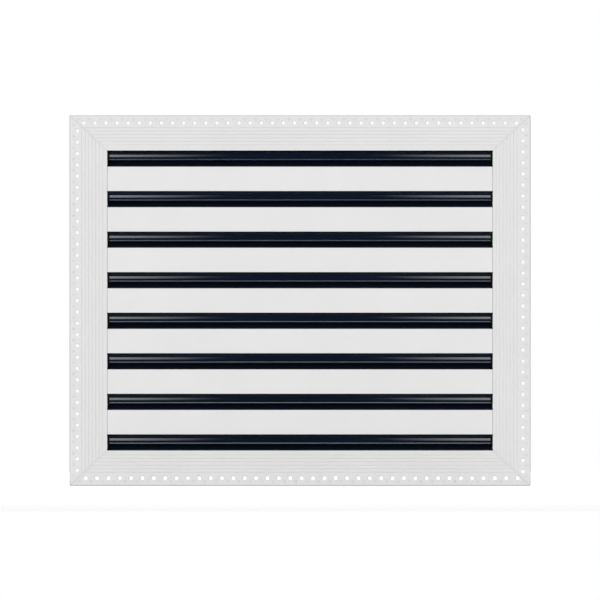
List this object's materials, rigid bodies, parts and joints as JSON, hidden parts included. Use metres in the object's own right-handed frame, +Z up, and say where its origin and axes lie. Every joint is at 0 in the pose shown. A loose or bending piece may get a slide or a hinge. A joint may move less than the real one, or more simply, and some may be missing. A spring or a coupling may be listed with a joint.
{
  "type": "louvred air grille",
  "caption": "Rectangular plaster-in air grille with a perforated, ribbed flange, flat white slats and a pair of turning black deflector blades in each slot.",
  "frame": {"origin": "centre of the opening, on the wall plane that the back of the flange rests on", "axes": "+X to the right along the slats as seen from the room, +Y back into the wall and the duct, +Z up"},
  "size_m": [0.5466, 0.05, 0.4394],
  "materials": {
    "white_powder_coat": "satin white powder coat",
    "black_gloss_paint": "gloss black paint",
    "black_plastic": "moulded matt black nylon",
    "mill_aluminium": "mill finish",
    "zinc_plated_steel": "bright zinc plate"
  },
  "bodies": {
    "grille_frame": {"frame_rail_top": "white_powder_coat", "frame_rail_bottom": "white_powder_coat", "frame_rail_left": "white_powder_coat", "frame_rail_right": "white_powder_coat", "corner_key_top_left": "mill_aluminium", "corner_key_top_right": "mill_aluminium", "corner_key_bottom_left": "mill_aluminium", "corner_key_bottom_right": "mill_aluminium", "corner_key_screws": "zinc_plated_steel", "end_plate_left": "white_powder_coat", "end_plate_right": "white_powder_coat", "end_plate_screws": "zinc_plated_steel", "core_fixing_screws": "zinc_plated_steel", "tie_rod": "zinc_plated_steel", "spacer_tubes": "mill_aluminium", "slat_1": "white_powder_coat", "slat_2": "white_powder_coat", "slat_3": "white_powder_coat", "slat_4": "white_powder_coat", "slat_5": "white_powder_coat", "slat_6": "white_powder_coat", "slat_7": "white_powder_coat"},
    "upper_deflector_1": {"upper_deflector_1": "black_gloss_paint", "upper_deflector_caps_1": "black_plastic"},
    "lower_deflector_1": {"lower_deflector_1": "black_gloss_paint", "lower_deflector_caps_1": "black_plastic"},
    "upper_deflector_2": {"upper_deflector_2": "black_gloss_paint", "upper_deflector_caps_2": "black_plastic"},
    "lower_deflector_2": {"lower_deflector_2": "black_gloss_paint", "lower_deflector_caps_2": "black_plastic"},
    "upper_deflector_3": {"upper_deflector_3": "black_gloss_paint", "upper_deflector_caps_3": "black_plastic"},
    "lower_deflector_3": {"lower_deflector_3": "black_gloss_paint", "lower_deflector_caps_3": "black_plastic"},
    "upper_deflector_4": {"upper_deflector_4": "black_gloss_paint", "upper_deflector_caps_4": "black_plastic"},
    "lower_deflector_4": {"lower_deflector_4": "black_gloss_paint", "lower_deflector_caps_4": "black_plastic"},
    "upper_deflector_5": {"upper_deflector_5": "black_gloss_paint", "upper_deflector_caps_5": "black_plastic"},
    "lower_deflector_5": {"lower_deflector_5": "black_gloss_paint", "lower_deflector_caps_5": "black_plastic"},
    "upper_deflector_6": {"upper_deflector_6": "black_gloss_paint", "upper_deflector_caps_6": "black_plastic"},
    "lower_deflector_6": {"lower_deflector_6": "black_gloss_paint", "lower_deflector_caps_6": "black_plastic"},
    "upper_deflector_7": {"upper_deflector_7": "black_gloss_paint", "upper_deflector_caps_7": "black_plastic"},
    "lower_deflector_7": {"lower_deflector_7": "black_gloss_paint", "lower_deflector_caps_7": "black_plastic"},
    "upper_deflector_8": {"upper_deflector_8": "black_gloss_paint", "upper_deflector_caps_8": "black_plastic"},
    "lower_deflector_8": {"lower_deflector_8": "black_gloss_paint", "lower_deflector_caps_8": "black_plastic"}
  },
  "joints": [
    {"name": "upper_deflector_1_pivot", "type": "hinge", "parent": "grille_frame", "child": "upper_deflector_1", "pos_m": [0, 0.0055, 0.177], "axis": [1, 0, 0], "range_deg": [0, 95]},
    {"name": "lower_deflector_1_pivot", "type": "hinge", "parent": "grille_frame", "child": "lower_deflector_1", "pos_m": [0, 0.0137, 0.1594], "axis": [-1, 0, 0], "range_deg": [0, 80]},
    {"name": "upper_deflector_2_pivot", "type": "hinge", "parent": "grille_frame", "child": "upper_deflector_2", "pos_m": [0, 0.0055, 0.12894], "axis": [1, 0, 0], "range_deg": [0, 95]},
    {"name": "lower_deflector_2_pivot", "type": "hinge", "parent": "grille_frame", "child": "lower_deflector_2", "pos_m": [0, 0.0137, 0.11134], "axis": [-1, 0, 0], "range_deg": [0, 80]},
    {"name": "upper_deflector_3_pivot", "type": "hinge", "parent": "grille_frame", "child": "upper_deflector_3", "pos_m": [0, 0.0055, 0.08089], "axis": [1, 0, 0], "range_deg": [0, 95]},
    {"name": "lower_deflector_3_pivot", "type": "hinge", "parent": "grille_frame", "child": "lower_deflector_3", "pos_m": [0, 0.0137, 0.06329], "axis": [-1, 0, 0], "range_deg": [0, 80]},
    {"name": "upper_deflector_4_pivot", "type": "hinge", "parent": "grille_frame", "child": "upper_deflector_4", "pos_m": [0, 0.0055, 0.03283], "axis": [1, 0, 0], "range_deg": [0, 95]},
    {"name": "lower_deflector_4_pivot", "type": "hinge", "parent": "grille_frame", "child": "lower_deflector_4", "pos_m": [0, 0.0137, 0.01523], "axis": [-1, 0, 0], "range_deg": [0, 80]},
    {"name": "upper_deflector_5_pivot", "type": "hinge", "parent": "grille_frame", "child": "upper_deflector_5", "pos_m": [0, 0.0055, -0.01523], "axis": [1, 0, 0], "range_deg": [0, 95]},
    {"name": "lower_deflector_5_pivot", "type": "hinge", "parent": "grille_frame", "child": "lower_deflector_5", "pos_m": [0, 0.0137, -0.03283], "axis": [-1, 0, 0], "range_deg": [0, 80]},
    {"name": "upper_deflector_6_pivot", "type": "hinge", "parent": "grille_frame", "child": "upper_deflector_6", "pos_m": [0, 0.0055, -0.06329], "axis": [1, 0, 0], "range_deg": [0, 95]},
    {"name": "lower_deflector_6_pivot", "type": "hinge", "parent": "grille_frame", "child": "lower_deflector_6", "pos_m": [0, 0.0137, -0.08089], "axis": [-1, 0, 0], "range_deg": [0, 80]},
    {"name": "upper_deflector_7_pivot", "type": "hinge", "parent": "grille_frame", "child": "upper_deflector_7", "pos_m": [0, 0.0055, -0.11134], "axis": [1, 0, 0], "range_deg": [0, 95]},
    {"name": "lower_deflector_7_pivot", "type": "hinge", "parent": "grille_frame", "child": "lower_deflector_7", "pos_m": [0, 0.0137, -0.12894], "axis": [-1, 0, 0], "range_deg": [0, 80]},
    {"name": "upper_deflector_8_pivot", "type": "hinge", "parent": "grille_frame", "child": "upper_deflector_8", "pos_m": [0, 0.0055, -0.1594], "axis": [1, 0, 0], "range_deg": [0, 95]},
    {"name": "lower_deflector_8_pivot", "type": "hinge", "parent": "grille_frame", "child": "lower_deflector_8", "pos_m": [0, 0.0137, -0.177], "axis": [-1, 0, 0], "range_deg": [0, 80]}
  ]
}
